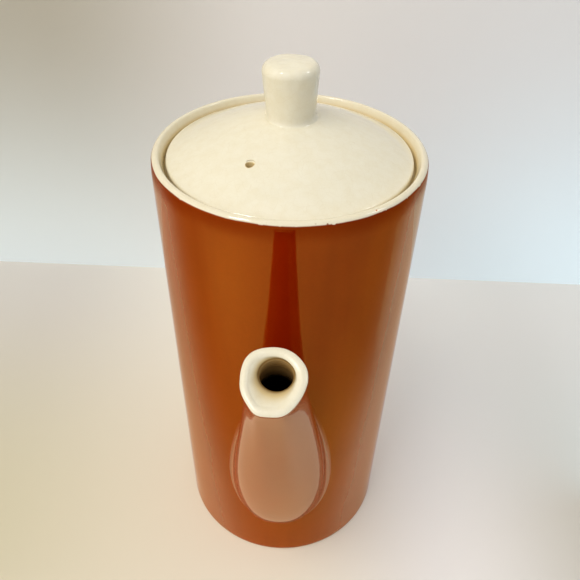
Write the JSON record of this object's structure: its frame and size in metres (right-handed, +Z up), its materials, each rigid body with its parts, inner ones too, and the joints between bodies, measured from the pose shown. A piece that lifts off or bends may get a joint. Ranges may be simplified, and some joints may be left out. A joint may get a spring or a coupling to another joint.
{
  "type": "coffee pot",
  "caption": "Tall straight-sided glazed coffee pot with a low-set pouring spout, a looped handle opposite it and a knobbed lid that lifts out of the rim.",
  "frame": {"origin": "middle of the foot, on the table", "axes": "+Z up along the pot's centre line, spout towards -Y, handle towards +Y"},
  "size_m": [0.105, 0.2143, 0.2435],
  "materials": {
    "body_glaze": "gloss rust-brown glaze outside, cream glaze on the rim and inside",
    "spout_glaze": "gloss rust-brown glaze outside, cream glaze on the lip and inside",
    "handle_glaze": "gloss rust-brown glaze",
    "lid_glaze": "gloss cream glaze with a faint mottle and fine specks",
    "knob_glaze": "gloss cream glaze with a faint mottle"
  },
  "bodies": {
    "pot": {"pot_body": "body_glaze", "pot_spout": "spout_glaze", "pot_handle": "handle_glaze"},
    "lid": {"lid_plate": "lid_glaze", "lid_knob": "knob_glaze"}
  },
  "joints": [
    {"name": "lid_lift", "type": "slide", "parent": "pot", "child": "lid", "axis": [0, 0, 1], "range_m": [0, 0.08]}
  ]
}
